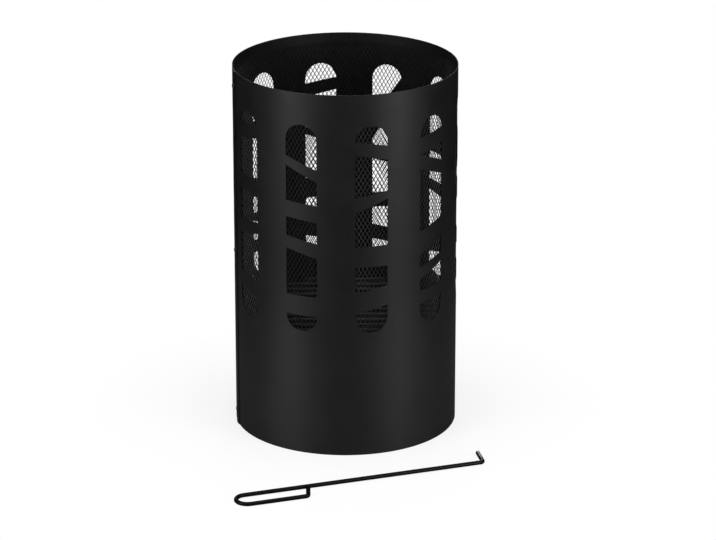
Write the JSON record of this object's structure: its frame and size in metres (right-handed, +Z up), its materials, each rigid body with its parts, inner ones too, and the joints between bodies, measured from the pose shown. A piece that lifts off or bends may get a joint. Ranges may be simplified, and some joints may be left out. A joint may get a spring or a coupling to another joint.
{
  "type": "fire basket",
  "caption": "Free-standing round steel fire basket with slatted window columns, a mesh spark liner, lift-out grate and ash pan, and a hooked poker.",
  "frame": {"origin": "on the basket's axis, at the underside of the base plate, where it stands on the ground", "axes": "+Z is up along the basket's axis, -Y is the front that the picture shows and where the poker lies, and +X is to the viewer's right"},
  "size_m": [0.401, 0.5645, 0.6],
  "materials": {
    "black_heat_paint": "matt black heat-resistant paint",
    "blackened_mesh": "matt black expanded steel mesh",
    "black_screw_steel": "blackened steel, satin",
    "black_pan_steel": "black-painted sheet steel",
    "grate_steel": "blackened rod steel, slightly scaled",
    "poker_paint": "satin black paint"
  },
  "bodies": {
    "basket": {"base_plate": "black_heat_paint", "outer_wall": "black_heat_paint", "mesh_liner": "blackened_mesh", "seam_screw_1": "black_screw_steel", "seam_screw_2": "black_screw_steel", "seam_screw_3": "black_screw_steel", "seam_nut_1": "black_screw_steel", "seam_nut_2": "black_screw_steel", "seam_nut_3": "black_screw_steel"},
    "ash_pan": {"ash_pan": "black_pan_steel", "pan_handle_1": "black_pan_steel", "pan_handle_2": "black_pan_steel"},
    "fire_grate": {"grate_ring": "grate_steel", "grate_leg_frame_1": "grate_steel", "grate_leg_frame_2": "grate_steel", "grate_bar_01": "grate_steel", "grate_bar_02": "grate_steel", "grate_bar_03": "grate_steel", "grate_bar_04": "grate_steel", "grate_bar_05": "grate_steel", "grate_bar_06": "grate_steel", "grate_bar_07": "grate_steel", "grate_bar_08": "grate_steel", "grate_bar_09": "grate_steel", "grate_bar_10": "grate_steel", "grate_bar_11": "grate_steel", "grate_bar_12": "grate_steel", "grate_bar_13": "grate_steel", "grate_handle_1": "grate_steel", "grate_handle_2": "grate_steel"},
    "poker": {"poker": "poker_paint"}
  },
  "joints": [
    {"name": "ash_pan_lift", "type": "slide", "parent": "basket", "child": "ash_pan", "axis": [0, 0, 1], "range_m": [0, 0.6]},
    {"name": "fire_grate_lift", "type": "slide", "parent": "ash_pan", "child": "fire_grate", "axis": [0, 0, 1], "range_m": [0, 0.6]},
    {"name": "poker_lift", "type": "slide", "parent": "basket", "child": "poker", "axis": [0, 0, 1], "range_m": [0, 0.4]}
  ]
}
